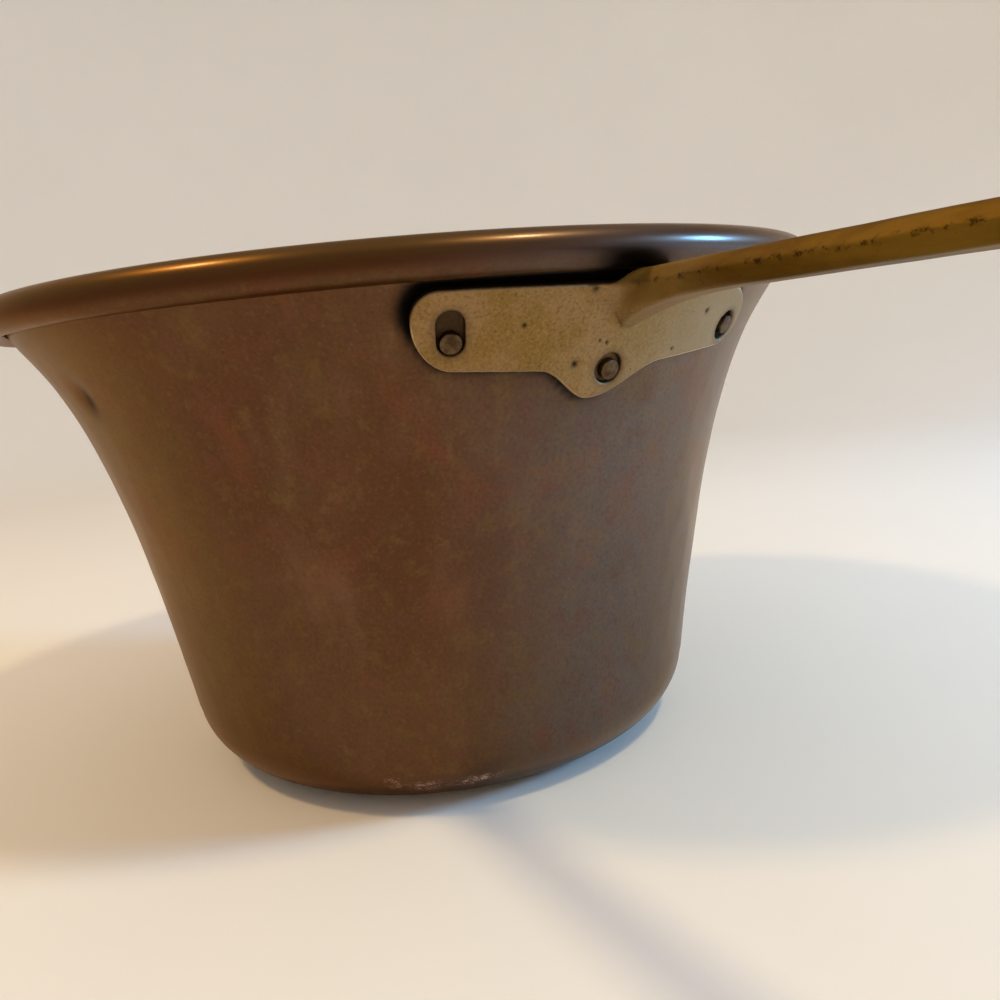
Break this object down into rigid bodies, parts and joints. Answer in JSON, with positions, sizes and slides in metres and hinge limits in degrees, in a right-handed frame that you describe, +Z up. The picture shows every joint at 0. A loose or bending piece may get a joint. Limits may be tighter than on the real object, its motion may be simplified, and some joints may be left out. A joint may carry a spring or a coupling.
{
  "type": "polenta pot",
  "caption": "Flared copper cooking pot with a flat base, a bead rolled round a wire at its mouth, and a cast handle riveted to the wall on a curved plate.",
  "frame": {"origin": "centre of the pot's flat base, on the surface that it stands on", "axes": "+Z up along the pot's axis, +X out along the handle"},
  "size_m": [0.4849, 0.2798, 0.1616],
  "materials": {
    "copper_sheet": "brown patinated copper sheet, satin, with a smoother bead",
    "rim_iron": "plain iron wire, hidden in the bead",
    "handle_brass": "dull cast brass, speckled, golden to brown",
    "rivet_metal": "hammered rivet, brown grey"
  },
  "bodies": {
    "root": {"pot_body": "copper_sheet", "rim_wire": "rim_iron", "handle": "handle_brass", "rivet_left": "rivet_metal", "rivet_right": "rivet_metal", "rivet_lower": "rivet_metal"}
  },
  "joints": []
}
